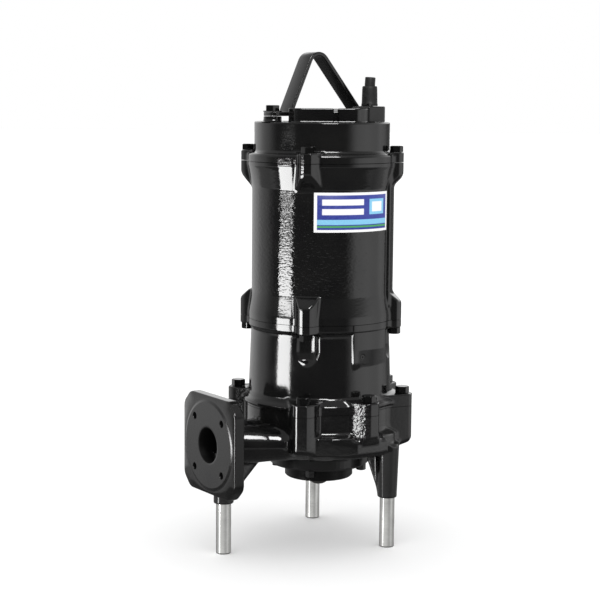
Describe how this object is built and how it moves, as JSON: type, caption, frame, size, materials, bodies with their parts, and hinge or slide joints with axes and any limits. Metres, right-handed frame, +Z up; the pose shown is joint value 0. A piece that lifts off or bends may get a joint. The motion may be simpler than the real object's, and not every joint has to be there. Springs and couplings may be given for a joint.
{
  "type": "grinder pump",
  "caption": "Upright submersible grinder pump in black cast iron with a side discharge flange, lifting handle, rotating cutter under the casing and stainless rod legs.",
  "frame": {"origin": "on the floor, under the middle of the pump's bounding box; the shaft's axis is 27.75 mm towards +X", "axes": "+Z up along the shaft, -X out of the discharge flange"},
  "size_m": [0.3334, 0.278, 0.7271],
  "materials": {
    "black_enamel": "glossy black enamel over a cast surface with fine orange peel",
    "black_bolt": "black coated bolt steel, satin",
    "dark_steel": "dark hardened steel, satin",
    "stainless": "turned stainless steel, bright",
    "rubber": "matt black rubber",
    "printed_plate": "printed plate, blue and white with plain colour bands"
  },
  "bodies": {
    "pump": {"lifting_handle": "black_enamel", "top_cover": "black_enamel", "cable_entry_box": "black_enamel", "motor_frame": "black_enamel", "seal_housing": "black_enamel", "volute_casing": "black_enamel", "suction_cover": "black_enamel", "handle_bolt_left": "black_bolt", "handle_bolt_right": "black_bolt", "cover_bolt_1": "black_bolt", "cover_bolt_2": "black_bolt", "cover_bolt_3": "black_bolt", "cover_bolt_4": "black_bolt", "housing_bolt_1": "black_bolt", "housing_bolt_2": "black_bolt", "housing_bolt_3": "black_bolt", "housing_bolt_4": "black_bolt", "casing_bolt_1": "black_bolt", "casing_bolt_2": "black_bolt", "casing_bolt_3": "black_bolt", "casing_bolt_4": "black_bolt", "casing_bolt_5": "black_bolt", "casing_bolt_6": "black_bolt", "casing_bolt_7": "black_bolt", "suction_bolt_1": "black_bolt", "suction_bolt_2": "black_bolt", "suction_bolt_3": "black_bolt", "suction_bolt_4": "black_bolt", "gland_screw_1": "black_bolt", "gland_screw_2": "black_bolt", "oil_plug": "dark_steel", "grinder_ring": "dark_steel", "leg_discharge": "stainless", "leg_rear": "stainless", "leg_front": "stainless", "cable_boot": "rubber", "cable_stub": "rubber", "rating_plate": "printed_plate"},
    "rotor": {"grinder_cutter": "dark_steel", "cutter_nut": "dark_steel", "pump_shaft": "dark_steel"}
  },
  "joints": [
    {"name": "rotor_spin", "type": "hinge", "parent": "pump", "child": "rotor", "pos_m": [0.02775, 0, 0.1], "axis": [0, 0, 1], "continuous": true}
  ]
}
